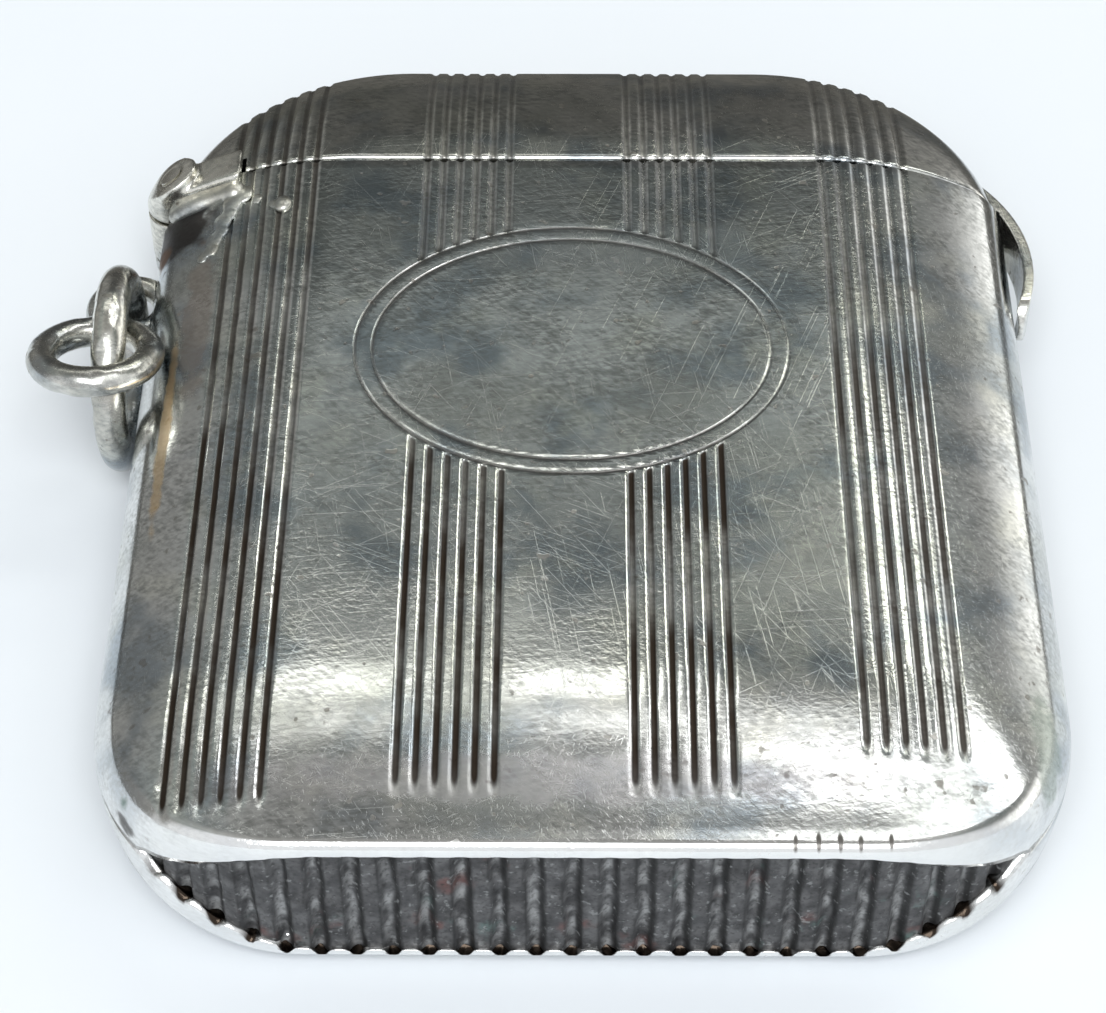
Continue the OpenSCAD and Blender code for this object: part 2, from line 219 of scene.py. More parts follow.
class Flow:
    """A number on its way through a node tree: sums written with it add Math nodes."""

    def __init__(self, tree, socket):
        self.tree, self.socket = tree, socket

    def node(self, kind, values, output=0, **settings):
        made = self.tree.nodes.new(kind)
        for key, value in settings.items():
            setattr(made, key, value)
        for key, value in values.items():
            if isinstance(value, Flow):
                self.tree.links.new(value.socket, made.inputs[key])
            else:
                made.inputs[key].default_value = value
        return Flow(self.tree, made.outputs[output])

    def math(self, operation, *others):
        values = dict(enumerate((self, *others)))
        return self.node("ShaderNodeMath", values, operation=operation)

    def __add__(self, other):
        return self.math("ADD", other)

    def __sub__(self, other):
        return self.math("SUBTRACT", other)

    def __mul__(self, other):
        return self.math("MULTIPLY", other)

    def __truediv__(self, other):
        return self.math("DIVIDE", other)

    def left_of(self, whole):
        return self.math("MULTIPLY_ADD", -1.0, whole)

    def axis(self, letter):
        return self.node("ShaderNodeSeparateXYZ", {0: self}, output=letter)

    def noise(self, scale, detail):
        return self.node("ShaderNodeTexNoise", {"Vector": self, "Scale": scale, "Detail": detail})

    def ramp(self, low, high, start=0.0, end=1.0):
        values = {"Value": self, "From Min": low, "From Max": high, "To Min": start, "To Max": end}
        return self.node("ShaderNodeMapRange", values, interpolation_type="SMOOTHSTEP")


def work_recipe(name, sizes, material):
    """A Geometry Nodes tree with named sizes: gives it, its sizes, and its first and last geometry."""
    tree = bpy.data.node_groups.new(name, "GeometryNodeTree")
    tree.interface.new_socket("Geometry", in_out="INPUT", socket_type="NodeSocketGeometry")
    for size, value in sizes.items():
        socket = tree.interface.new_socket(size, in_out="INPUT", socket_type="NodeSocketFloat")
        socket.default_value = value
    tree.interface.new_socket("Geometry", in_out="OUTPUT", socket_type="NodeSocketGeometry")
    start = tree.nodes.new("NodeGroupInput")
    end = tree.nodes.new("NodeGroupOutput")
    dress = tree.nodes.new("GeometryNodeSetMaterial")
    dress.inputs["Material"].default_value = material
    whole = tree.nodes.new("GeometryNodeRealizeInstances")
    tree.links.new(whole.outputs[0], dress.inputs["Geometry"])
    tree.links.new(dress.outputs[0], end.inputs[0])
    flows = {size: Flow(tree, start.outputs[size]) for size in sizes}
    return tree, flows, start.outputs[0], whole.inputs[0]


def worked(piece, tree, sizes):
    """Works a piece by a Geometry Nodes tree and keeps the plain mesh that comes out."""
    step = piece.modifiers.new(tree.name, "NODES")
    step.node_group = tree
    for item in tree.interface.items_tree:
        if item.in_out == "INPUT" and item.name in sizes:
            step[item.identifier] = sizes[item.name]
    settled(piece)


def settled(piece):
    """Replaces a piece's mesh by what its modifiers make of it, and removes them."""
    graph = bpy.context.evaluated_depsgraph_get()
    mesh = bpy.data.meshes.new_from_object(piece.evaluated_get(graph))
    piece.modifiers.clear()
    old = piece.data
    piece.data = mesh
    mesh.name = piece.name
    bpy.data.meshes.remove(old)


OVAL_FADE = (0.6, 0.92, 1.0, 0.3)
engraving_sizes = {
    "Line Pitch": LINE_PITCH, "Line Width": LINE_W, "Middle": ENGRAVED_MIDDLE,
    "Inner Spread": INNER_SPREAD, "Outer Spread": OUTER_SPREAD, "Run Out": 1.2,
    "Left End": -23.3, "Inner End": -22.6, "Right End": -20.8,
    "Oval X": OVAL_X, "Oval Y": OVAL_Y, "Oval Half Width": OVAL_HALF_W, "Oval Half Height": OVAL_HALF_H,
    "Oval Line": OVAL_LINE, "Oval Gap": 0.8, "Line Depth": LINE_DEPTH, "Waves": 0.025}
engraving_sizes = {size: value * MM for size, value in engraving_sizes.items()}


def engraved(x, y, size, oval):
    """Share of the full depth that the straight lines, and the two lines of the oval, reach at a place."""

    def groove(distance, width):
        share = distance / (width * 0.5)
        return (share * share).left_of(1.0).math("MAXIMUM", 0.0)

    def band(middle, end_y):
        off = x - middle
        share = (off / size["Line Pitch"] + LINES / 2).math("FRACT") - 0.5
        inside = off.math("ABSOLUTE").math("LESS_THAN", size["Line Pitch"] * (LINES / 2))
        cut = groove(share.math("ABSOLUTE") * size["Line Pitch"], size["Line Width"])
        return cut * inside * (y - end_y).ramp(0.0, size["Run Out"])

    lines = band(size["Middle"] - size["Inner Spread"], size["Inner End"])
    lines = lines.math("MAXIMUM", band(size["Middle"] + size["Inner Spread"], size["Inner End"]))
    ring = x * 0.0
    if oval:
        a = (x - size["Oval X"]) / size["Oval Half Width"]
        b = (y - size["Oval Y"]) / size["Oval Half Height"]
        far = (a * a + b * b).math("SQRT").math("MAXIMUM", 0.05)
        slope_a = a / size["Oval Half Width"]
        slope_b = b / size["Oval Half Height"]
        slope = (slope_a * slope_a + slope_b * slope_b).math("SQRT") / far
        out = (far - 1.0) / slope
        lines = lines * out.ramp(size["Oval Line"] * 0.2, size["Oval Line"] * 1.2)
        ring = groove(out.math("ABSOLUTE"), size["Oval Line"])
        ring = ring.math("MAXIMUM", groove((out + size["Oval Gap"]).math("ABSOLUTE"), size["Oval Line"]))
        ring = ring * a.ramp(*OVAL_FADE)
    lines = lines.math("MAXIMUM", band(size["Middle"] - size["Outer Spread"], size["Left End"]))
    return lines.math("MAXIMUM", band(size["Middle"] + size["Outer Spread"], size["Right End"])), ring


def tinted(tree, share, first, second):
    """Mixes two colours, each a flow or three numbers, by a share."""
    mix = tree.nodes.new("ShaderNodeMix")
    mix.data_type = "RGBA"
    for index, value in ((0, share), (6, first), (7, second)):
        if isinstance(value, Flow):
            tree.links.new(value.socket, mix.inputs[index])
        else:
            mix.inputs[index].default_value = (*value, 1)
    return Flow(tree, mix.outputs[2])


def plain_material(name):
    """A new material: gives it, its node tree, its surface, and the place on the piece."""
    material = bpy.data.materials.new(name)
    material.use_nodes = True
    tree = material.node_tree
    place = Flow(tree, tree.nodes.new("ShaderNodeTexCoord").outputs["Object"])
    return material, tree, tree.nodes["Principled BSDF"], place


BLUE_TARNISH, PALE_RUB, GREY_GRAIN = (0.27, 0.33, 0.39), (0.86, 0.86, 0.78), (0.26, 0.27, 0.26)
PIT_BROWN, RUBBED_RIM, LINE_DIRT = (0.16, 0.13, 0.1), (0.97, 0.965, 0.95), (0.045, 0.034, 0.026)
# Each hairline's turn, length, width, and how rare it is.
HAIRLINES = ((0.5, 6.0, 0.05, 0.76), (-0.45, 7.0, 0.05, 0.76), (1.2, 6.0, 0.05, 0.75),
             (0.08, 8.0, 0.05, 0.77), (2.2, 6.0, 0.05, 0.75), (1.75, 5.0, 0.045, 0.75))
BUMP_STRENGTH, BUMP_DEPTH = 0.2, 0.02 * MM


def silver(name, bright, dull, stain, rough, dull_from, stain_from, scratched, spots=(), cut="none"):
    """Old silver: bright metal, duller and stained in patches, with hairline scratches, pits and spots."""
    material, tree, metal, place = plain_material(name)

    def cloud(scale, detail, shift):
        return place.node("ShaderNodeMapping", {"Vector": place, "Location": shift}).noise(scale, detail)

    def streaks(turn, length, width, detail):
        lain = place.node("ShaderNodeMapping", {"Vector": place, "Rotation": (0, 0, turn),
                                                "Scale": (length * MM, width * MM, width * MM)},
                          vector_type="TEXTURE")
        return lain.noise(1.0, detail)

    def mark(key):
        return place.node("ShaderNodeAttribute", {}, output="Fac", attribute_name=key)

    patchy = cloud(140, 6, (0.3, 0.1, 0.2)).ramp(dull_from, dull_from + 0.25)
    stained = cloud(75, 4, (0.7, 0.4, 0.1)).ramp(stain_from, stain_from + 0.2)
    bluish = cloud(230, 6, (0.9, 0.3, 0.6)).ramp(0.47, 0.66)
    rubbed_pale = cloud(310, 6, (0.15, 0.7, 0.35)).ramp(0.5, 0.68)
    speck = cloud(1500, 2, (0.2, 0.9, 0.5)).ramp(0.66, 0.74)
    grain = streaks(0.12, 0.55, 0.19, 3.0).ramp(0.36, 0.64) * 0.6
    grain = grain + streaks(-0.7, 0.6, 0.2, 3.0).ramp(0.4, 0.66) * 0.5
    grain = grain * cloud(480, 4, (0.6, 0.2, 0.9)).ramp(0.3, 0.62, 0.35, 1.2)
    scratch = speck * 0.0
    for turn, length, width, share in HAIRLINES:
        scratch = scratch.math("MAXIMUM", streaks(turn, length, width, 0.0).ramp(share, share + 0.06))
    colour = tinted(tree, patchy, bright, dull)
    for share, tone in ((stained * 0.8, stain), (bluish * 0.7 * scratched, BLUE_TARNISH),
                        (rubbed_pale * 0.6 * scratched, PALE_RUB), (grain * 0.6 * scratched, GREY_GRAIN),
                        (scratch * 0.25 * scratched, bright), (speck * 0.5, PIT_BROWN),
                        (mark("rubbed") * 0.8, RUBBED_RIM)):
        colour = tinted(tree, share, colour, tone)
    gloss = patchy * 0.1 + rough + grain * 0.05 + scratch * 0.08 * scratched + speck * 0.2
    ragged = cloud(900, 4, (0.1, 0.6, 0.3)) * 1.4 - 0.7
    for middle, spread, strength, tone in spots:
        eased = place.node("ShaderNodeMapping", {"Vector": place, "Location": [c * MM for c in middle],
                                                 "Scale": [c * MM for c in spread]}, vector_type="TEXTURE")
        far = place.node("ShaderNodeVectorMath", {0: eased}, output="Value", operation="LENGTH")
        share = (far + ragged).ramp(0.6, 1.1, strength, 0.0)
        colour = tinted(tree, share, colour, tone)
        gloss = gloss + share * 0.3
    height = scratch * -0.2 * scratched + speck * -0.6 + cloud(420, 3, (0.5, 0.5, 0.5)) * 0.6 + grain * -0.4
    if cut != "none":
        x, y = place.axis("X"), place.axis("Y")
        lines, ring = engraved(x, y, engraving_sizes, cut == "oval")
        faint = y.ramp(-1.0 * MM, 12.0 * MM, 1.0, 0.5) * x.ramp(6.0 * MM, 13.0 * MM, 1.0, 0.92)
        faint = faint.math("MAXIMUM", x.ramp(-12.0 * MM, -9.0 * MM, 0.85, 0.0))
        line = lines.ramp(0.2, 0.85) * faint
        line = line.math("MAXIMUM", ring * OVAL_DIRT) * mark("skin")
        dirt = line * cloud(170, 3, (0.4, 0.2, 0.8)).ramp(0.3, 0.6, 0.65, 1.0)
        colour = tinted(tree, dirt.math("MAXIMUM", mark("soot") * 1.3), colour, LINE_DIRT)
        gloss = gloss + dirt * 0.35
        height = height + ring * OVAL_BUMP
    bump = place.node("ShaderNodeBump", {"Height": height, "Strength": BUMP_STRENGTH,
                                         "Distance": BUMP_DEPTH})
    tree.links.new(colour.socket, metal.inputs["Base Color"])
    tree.links.new(gloss.socket, metal.inputs["Roughness"])
    tree.links.new(bump.socket, metal.inputs["Normal"])
    metal.inputs["Metallic"].default_value = 1.0
    return material


RIM_NICKS, NICK_Y, NICK_Z = (8.35, 9.25, 10.1, 10.9, 12.1), -24.4, 8.6
# Each spot's middle, spread, strength and colour.
# The first two spots are painted shade on the shoulder under the front knuckle's saddle: near black, with a
# brown middle.
BODY_SPOTS = (((-19.3, 11.9, 7.2), (2.3, 2.2, 2.8), 0.96, (0.035, 0.03, 0.028)),
              ((-19.9, 10.9, 6.0), (0.7, 0.9, 0.9), 0.8, (0.16, 0.1, 0.07)),
              ((-18.7, -2.0, 7.5), (0.32, 6.5, 0.7), 0.6, (0.74, 0.50, 0.23)),
              ((-17.8, 5.0, 8.0), (0.8, 5.5, 1.2), 0.4, (0.36, 0.26, 0.21)),
              ((-19.2, -22.0, 5.8), (1.2, 0.9, 0.7), 0.9, (0.05, 0.045, 0.04)),
              ((-18.2, -21.4, 6.9), (0.5, 0.4, 0.5), 0.8, (0.12, 0.19, 0.15)),
              ((18.9, -19.0, 7.2), (0.8, 3.2, 1.2), 0.5, (0.2, 0.26, 0.22)),
              ((2.0, 8.5, 9.4), (8.0, 2.0, 1.5), 0.35, (0.24, 0.29, 0.32)),
              ((-2.0, -21.6, 9.0), (15.0, 1.3, 1.0), 0.35, (0.36, 0.33, 0.36)),
              *(((x, NICK_Y, NICK_Z), (0.12, 0.4, 0.4), 0.9, (0.1, 0.09, 0.08)) for x in RIM_NICKS))
body_look = {
    "bright": (0.78, 0.79, 0.78), "dull": (0.50, 0.52, 0.50), "stain": (0.38, 0.40, 0.35), "rough": 0.09,
    "dull_from": 0.44, "stain_from": 0.56, "scratched": 1.0, "spots": BODY_SPOTS}
front_silver = silver("front_silver", **body_look, cut="oval")


def engraving(material, oval):
    """Tree that cuts the engraving into a shell."""
    name = "engraving_with_oval" if oval else "engraving"
    tree, size, start, end = work_recipe(name, engraving_sizes, material)
    spot = Flow(tree, tree.nodes.new("GeometryNodeInputPosition").outputs[0])
    lines, ring = engraved(spot.axis("X"), spot.axis("Y"), size, oval)
    cut = lines.math("MAXIMUM", ring * OVAL_RELIEF)
    wear = spot.noise(700.0, 1.0)
    wave = spot.noise(95.0, 0.0)
    depth = cut * size["Line Depth"] * (wear + 0.55) + wave * size["Waves"]
    pressed(tree, spot, depth, start, end)
    return tree, engraving_sizes


def pressed(tree, spot, depth, start, end):
    """Ends a tree that sets the outer skin of a piece back by a depth."""
    skin = spot.node("GeometryNodeInputNamedAttribute", {"Name": "skin"}, data_type="FLOAT")
    set_back(tree, spot, depth * skin, start, end)


def set_back(tree, spot, depth, start, end):
    """Ends a tree that sets the surface of a piece back by a depth."""
    normal = Flow(tree, tree.nodes.new("GeometryNodeInputNormal").outputs[0])
    push = spot.node("ShaderNodeVectorMath", {0: normal, "Scale": depth * -1.0}, operation="SCALE")
    moved = tree.nodes.new("GeometryNodeSetPosition")
    tree.links.new(start, moved.inputs["Geometry"])
    tree.links.new(push.socket, moved.inputs["Offset"])
    tree.links.new(moved.outputs[0], end)


BAND_STEPS, LEFT_COLUMNS, MIDDLE_COLUMNS, RIGHT_COLUMNS = 25, 26, 36, 34
TOP_ROWS, OVAL_ROWS, LOW_ROWS, OVAL_MARGIN = 9, 104, 22, 0.4
line_places = RING_STEP * np.arange(-BAND_STEPS, BAND_STEPS + 1)
left_lines = ENGRAVED_MIDDLE - INNER_SPREAD + line_places
right_lines = ENGRAVED_MIDDLE + INNER_SPREAD + line_places
edge_line = ENGRAVED_MIDDLE + OUTER_SPREAD - 2.5 * LINE_PITCH + RING_STEP * np.arange(-3, 1)
front_columns = np.concatenate([
    np.linspace(-CORNER_X, left_lines[0], LEFT_COLUMNS)[:-1], left_lines,
    np.linspace(left_lines[-1], right_lines[0], MIDDLE_COLUMNS)[1:-1], right_lines,
    np.linspace(right_lines[-1], edge_line[0], RIGHT_COLUMNS)[1:-1], edge_line, [CORNER_X]])
mouth_rows = SEAM_Y - SEAM_GAP / 2 - np.array([0, 0.02, 0.05, 0.09, MOUTH_ROUND])
oval_top = OVAL_Y + OVAL_HALF_H + OVAL_MARGIN
oval_low = OVAL_Y - OVAL_HALF_H - OVAL_MARGIN
front_rows = np.concatenate([
    mouth_rows, np.linspace(mouth_rows[-1], oval_top, TOP_ROWS)[1:],
    np.linspace(oval_top, oval_low, OVAL_ROWS)[1:], np.linspace(oval_low, CORNER_Y, LOW_ROWS)[1:]])
body_thinning = {"middle": (6, 8), "left": (6, 6), "right": (6, 6), "left_corner": (6, 6),
                 "right_corner": (6, 6), "base": (8, 6)}


def body_lining(grid):
    """The body's surface set back by about the thickness of the sheet, with its own foot at the base."""
    mouth = SEAM_Y - SEAM_GAP / 2
    inner = grid.copy()
    inner[..., 0] *= 1 - SHEET / HALF_W
    inner[..., 1] = mouth + (grid[..., 1] - mouth) * (1 - SHEET / (HALF_H + mouth))
    inner[..., 2] *= 1 - SHEET / MID_Z
    if grid.shape[2] > 3:
        inner[:, -1, 2:4] = grid[:, -1, LINING_MARKS]
    return inner


front = shell("front_shell_engraved", body_patches(front_columns, front_rows, FRONT_SCALLOP), BODY_EDGE,
              body_thinning, body_lining, 1)
worked(front, *engraving(front_silver, True))

HINGE_X, HINGE_ROOM, POST_SIDES, PAST = -19.9, 1.45, 48, 1.0
UNDER, OVER = -PAST, 2 * MID_Z + PAST


def post(name, x, y, radius, low, high):
    """A round post along the thickness of the case, for cutting room out of a piece."""
    work = bmesh.new()
    bmesh.ops.create_cone(work, cap_ends=True, segments=POST_SIDES, radius1=radius * MM,
                          radius2=radius * MM, depth=(high - low) * MM)
    bmesh.ops.translate(work, verts=work.verts, vec=(x * MM, y * MM, (low + high) / 2 * MM))
    return loose_piece(name, work)


def block(name, low, high):
    """A square block between two corners, for cutting room out of a piece."""
    work = bmesh.new()
    bmesh.ops.create_cube(work, size=1.0)
    for v in work.verts:
        v.co = [(l + (h - l) * (c + 0.5)) * MM for c, l, h in zip(v.co, low, high)]
    return loose_piece(name, work)


def loose_piece(name, work):
    """A piece from a mesh that is being worked on."""
    mesh = bpy.data.meshes.new(name)
    work.to_mesh(mesh)
    work.free()
    piece = bpy.data.objects.new(name, mesh)
    bpy.context.scene.collection.objects.link(piece)
    return piece


def cut_away(piece, *cutters):
    """Takes the room of the cutters out of a piece, removes them, and evens out the faces at the cut."""
    for cutter in cutters:
        cut = piece.modifiers.new("room", "BOOLEAN")
        cut.operation = "DIFFERENCE"
        cut.solver = "MANIFOLD"
        cut.object = cutter
    settled(piece)
    for cutter in cutters:
        bpy.data.meshes.remove(cutter.data)
    work = bmesh.new()
    work.from_mesh(piece.data)
    many_sided = [f for f in work.faces if len(f.verts) > 4]
    bmesh.ops.triangulate(work, faces=many_sided, ngon_method="BEAUTY")
    work.to_mesh(piece.data)
    work.free()


def hinge_room():
    """The room that the three knuckles turn in, through the whole thickness of the case."""
    return post("hinge_room", HINGE_X, SEAM_Y, HINGE_ROOM, UNDER, OVER)


cut_away(front, hinge_room())
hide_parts("front_shell")
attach(front, "body")


# Back shell of the body: the second pressing from the same sterling sheet, soldered to the front one
# along the sides. It carries the same bands of lines without an oval, and the striker's flutes run
# out through its lower rim.
TONGUE, BACK_ROWS = 0.5, 45
back_rows = np.concatenate([mouth_rows, np.linspace(mouth_rows[-1], CORNER_Y, BACK_ROWS)[1:]])
back = shell("back_shell_engraved", body_patches(front_columns, back_rows, TONGUE), BODY_EDGE,
             body_thinning, body_lining, -1)
worked(back, *engraving(silver("back_silver", **body_look, cut="lines"), False))
cut_away(back, hinge_room())
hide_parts("back_shell")
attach(back, "body")


# Striker: a strip let into the base between the two shells, cast or rolled with a row of flutes to
# strike matches on, black with soot and old residue, with a little rust and green in the flutes.
STRIKER_RECESS, STRIKER_T, STRIKER_LAP = 0.2, 0.5, 0.55
FLUTE_W, FLUTE_DEPTH, GRIT, FLUTE_WOBBLE = 0.76, 0.36, 0.07, 0.4
STRIKER_COLUMNS, STRIKER_ROWS = 381, 25
striker_end = CORNER_X + EDGE_RUN * math.asin((WINDOW_HALF_W - CORNER_X) / EDGE_RUN)
striker_run = np.linspace(-striker_end, striker_end, STRIKER_COLUMNS)
striker_rise = np.linspace(-1, 1, STRIKER_ROWS)
striker_grid = np.zeros((len(striker_run), len(striker_rise), 3))
for i, along in enumerate(striker_run):
    turn = max(abs(along) - CORNER_X, 0) / EDGE_RUN
    reach = EDGE_RUN - STRIKER_RECESS
    x = math.copysign(min(abs(along), CORNER_X) + reach * math.sin(turn), along)
    striker_grid[i, :, 0] = x
    striker_grid[i, :, 1] = CORNER_Y - reach * math.cos(turn)
    striker_grid[i, :, 2] = striker_rise * (window_half(x) + STRIKER_LAP)


def striker_back(grid):
    """The back of the striker strip, set in by its thickness."""
    inner = grid.copy()
    over = np.maximum(np.abs(grid[..., 0]) - CORNER_X, 0)
    out = np.hypot(over, CORNER_Y - grid[..., 1])
    share = (out - STRIKER_T) / out
    inner[..., 0] = np.sign(grid[..., 0]) * (np.abs(grid[..., 0]) - over + over * share)
    inner[..., 1] = CORNER_Y - (CORNER_Y - grid[..., 1]) * share
    return inner


# The last of these is painted shade: near black along the flutes' edges.
SOOT_BLACK, SOOT_GREY, PAINTED_FLUTE_SHADE = (0.045, 0.045, 0.047), (0.11, 0.11, 0.112), (0.01, 0.01, 0.01)
# The last of these is a painted highlight: a lighter grey along each flute's left flank.
RUST, VERDIGRIS, PAINTED_FLANK_GREY = (0.12, 0.06, 0.055), (0.09, 0.14, 0.13), (0.33, 0.335, 0.335)
BLACK_GRIT, PALE_GRIT = (0.02, 0.02, 0.02), (0.3, 0.31, 0.31)
soot, soot_tree, soot_face, soot_place = plain_material("striker_soot")


def soot_cloud(scale, detail, low, high):
    """Patches in the soot, from none to full between two levels of a noise."""
    return soot_place.noise(scale, detail).ramp(low, high)


def painted_flute_mark(key):
    """One of the marks that the fluting tree stores on the striker: the painted highlight along each
    flute's left flank, and the painted shade along its edges.
    """
    return soot_place.node("ShaderNodeAttribute", {}, output="Fac", attribute_name=key)


soot_colour = tinted(soot_tree, soot_cloud(1100, 5, 0.35, 0.7), SOOT_BLACK, SOOT_GREY)
for share, layer in ((soot_cloud(420, 4, 0.6, 0.72), RUST), (soot_cloud(510, 5, 0.62, 0.74), VERDIGRIS),
                     # Painted highlight: lighter grey along the left flank of each flute.
                     (painted_flute_mark("painted_flank_highlight") * soot_cloud(1000, 5, 0.38, 0.66) * 0.9, PAINTED_FLANK_GREY),
                     # Painted shade: near black along the edges of each flute.
                     (painted_flute_mark("painted flute shade") * 0.9, PAINTED_FLUTE_SHADE),
                     (soot_cloud(5200, 3, 0.48, 0.7) * 0.6, BLACK_GRIT),
                     (soot_cloud(3600, 3, 0.6, 0.72) * 0.5, PALE_GRIT)):
    soot_colour = tinted(soot_tree, share, soot_colour, layer)
soot_gloss = soot_cloud(700, 3, 0.3, 0.7).ramp(0, 1, 0.45, 0.75)
soot_bump = soot_place.node("ShaderNodeBump", {"Height": soot_cloud(1800, 4, 0.2, 0.8), "Strength": 0.5,
                                               "Distance": 0.04 * MM})
soot_tree.links.new(soot_colour.socket, soot_face.inputs["Base Color"])
soot_tree.links.new(soot_gloss.socket, soot_face.inputs["Roughness"])
soot_tree.links.new(soot_bump.socket, soot_face.inputs["Normal"])
soot_face.inputs["Metallic"].default_value = 0.35


def fluting(material):
    """Tree that presses a row of flutes across a strip that bends round the base."""
    sizes = {"Flute Pitch": FLUTE_PITCH, "Flute Width": FLUTE_W, "Flute Depth": FLUTE_DEPTH,
             "First Flute": FLUTE_MIDDLE, "Bend X": CORNER_X, "Bend Y": CORNER_Y, "Bend Radius": EDGE_RUN,
             "Grit": GRIT, "Wobble": FLUTE_WOBBLE}
    sizes = {size: value * MM for size, value in sizes.items()}
    tree, size, start, end = work_recipe("fluting", sizes, material)
    spot = Flow(tree, tree.nodes.new("GeometryNodeInputPosition").outputs[0])
    x, y = spot.axis("X"), spot.axis("Y")
    over = (x.math("ABSOLUTE") - size["Bend X"]).math("MAXIMUM", 0.0)
    turn = over.math("ARCTAN2", size["Bend Y"] - y)
    along = (x.math("ABSOLUTE") - over + turn * size["Bend Radius"]) * x.math("SIGN")
    wobble = spot.noise(700.0, 2.0) - 0.5
    along = along + wobble * size["Wobble"]
    share = ((along - size["First Flute"]) / size["Flute Pitch"] + 0.5).math("FRACT") - 0.5
    across = share * size["Flute Pitch"] / (size["Flute Width"] * 0.5)
    cut = (across * across).left_of(1.0).math("MAXIMUM", 0.0)
    grain = spot.noise(2600.0, 3.0)
    wear = spot.noise(420.0, 1.0)
    depth = cut * size["Flute Depth"] * (wear + 0.5) + grain * size["Grit"]
    # Painted highlight along the left flank of each flute, stored for the material.
    painted_flank_highlight = across.ramp(-0.95, -0.5) * across.ramp(0.0, 0.4, 1.0, 0.0)
    # Painted shade along the edges of each flute, fully on the right and less on the left, stored for the
    # material.
    edge = across.ramp(0.2, 0.65) * across.ramp(0.95, 1.2, 1.0, 0.0)
    edge = edge.math("MAXIMUM", across.ramp(-1.3, -1.1) * across.ramp(-1.0, -0.8, 1.0, 0.0) * 0.7)
    marked = start
    for key, value in (("painted_flank_highlight", painted_flank_highlight), ("painted flute shade", edge)):
        keep = tree.nodes.new("GeometryNodeStoreNamedAttribute")
        keep.data_type = "FLOAT"
        keep.inputs["Name"].default_value = key
        tree.links.new(marked, keep.inputs["Geometry"])
        tree.links.new(value.socket, keep.inputs["Value"])
        marked = keep.outputs[0]
    pressed(tree, spot, depth, marked, end)
    return tree, sizes


striker = shell("fluted_striker", {"strip": striker_grid},
                (("strip", 0, None), ("strip", -1, None), ("strip", None, 0), ("strip", None, -1)),
                {"strip": (4, 6)}, striker_back, 1)
worked(striker, *fluting(soot))
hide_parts("striker_plate")
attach(striker, "body")


# Collar in the mouth of the body: a strip of plain sheet bent to the inside of the case and soldered
# in, standing up so that the lid closes over it. Only its upper edge shows, with the lid open.
collar_silver = silver("collar_silver", (0.86, 0.84, 0.78), (0.60, 0.57, 0.48), (0.45, 0.40, 0.30),
                       rough=0.2, dull_from=0.5, stain_from=0.6, scratched=0.6)


def dressed(node, material):
    """Gives a piece that keeps the shape of its solid its material."""
    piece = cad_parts[node]
    piece.data.materials.clear()
    piece.data.materials.append(material)


dressed("mouth_collar", collar_silver)


# Knuckles of the hinge: two lengths of thick tube with a saddle each, filed up from silver, bent over
# the shoulder of the case and soldered to the body. Their edges are worn round and bright.
hinge_silver = silver("hinge_silver", (0.90, 0.88, 0.81), (0.55, 0.53, 0.46), (0.28, 0.26, 0.21),
                      rough=0.18, dull_from=0.48, stain_from=0.62, scratched=0.8)
SAME_POINT = 0.001


def softened(name, node, material, voxel, rounds):
    """A copy of a piece's solid with its edges worn round."""
    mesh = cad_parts[node].data.copy()
    mesh.name = name
    work = bmesh.new()
    work.from_mesh(mesh)
    bmesh.ops.remove_doubles(work, verts=work.verts, dist=SAME_POINT * MM)
    work.to_mesh(mesh)
    work.free()
    mesh.materials.clear()
    mesh.materials.append(material)
    piece = bpy.data.objects.new(name, mesh)
    bpy.context.scene.collection.objects.link(piece)
    run_together(piece, voxel, rounds)
    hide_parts(node)
    return piece


def run_together(piece, voxel, rounds):
    """Makes one skin of a piece and rounds its edges."""
    grain = piece.modifiers.new("grain", "REMESH")
    grain.mode = "VOXEL"
    grain.voxel_size = voxel * MM
    grain.use_smooth_shade = True
    worn = piece.modifiers.new("worn", "SMOOTH")
    worn.factor = 0.5
    worn.iterations = rounds
    settled(piece)


for node in ("front_knuckle", "back_knuckle"):
    knuckle = softened(node + "_worn", node, hinge_silver, voxel=0.08, rounds=45)
    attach(knuckle, "body")


# Solder at the front knuckle: hard solder that ran out on the shoulder when the hinge was fixed. It lies
# as a fat bead under the saddle and a ragged edge along the painted shade below it, with one round drop by
# itself.
# Each drop's place, radius and flatness.
SOLDER_DROPS = ((-14.2, 11.7, 0.45, 0.6), (-14.65, 11.8, 0.26, 0.3), (-15.5, 12.4, 0.3, 0.25),
                (-16.2, 12.9, 0.5, 0.35), (-16.7, 12.4, 0.55, 0.35), (-16.8, 11.8, 0.45, 0.35),
                (-17.1, 11.3, 0.5, 0.35), (-17.1, 10.7, 0.4, 0.35), (-17.4, 10.2, 0.45, 0.35),
                (-17.5, 9.6, 0.4, 0.35), (-17.9, 9.2, 0.3, 0.3))
SOLDER_STRETCH = 1.2
BEAD_LEFT, BEAD_RIGHT, BEAD_DROPS = -19.6, -16.7, 25
SOLDER_BEAD_Y, SOLDER_BEAD_R, SOLDER_BEAD_RISE = 13.35, 0.5, 0.85
BEAD_SWELL, BEAD_WAVES = 0.15, 2.6
solder_drops = list(SOLDER_DROPS)
for x in np.linspace(BEAD_LEFT, BEAD_RIGHT, BEAD_DROPS):
    swell = 1 + BEAD_SWELL * math.sin(BEAD_WAVES * x)
    solder_drops.append((x, SOLDER_BEAD_Y, SOLDER_BEAD_R * swell, SOLDER_BEAD_RISE))
solder_silver = silver("solder_silver", (0.82, 0.80, 0.72), (0.55, 0.53, 0.46), (0.3, 0.28, 0.22),
                       rough=0.3, dull_from=0.44, stain_from=0.58, scratched=1.0)
work = bmesh.new()
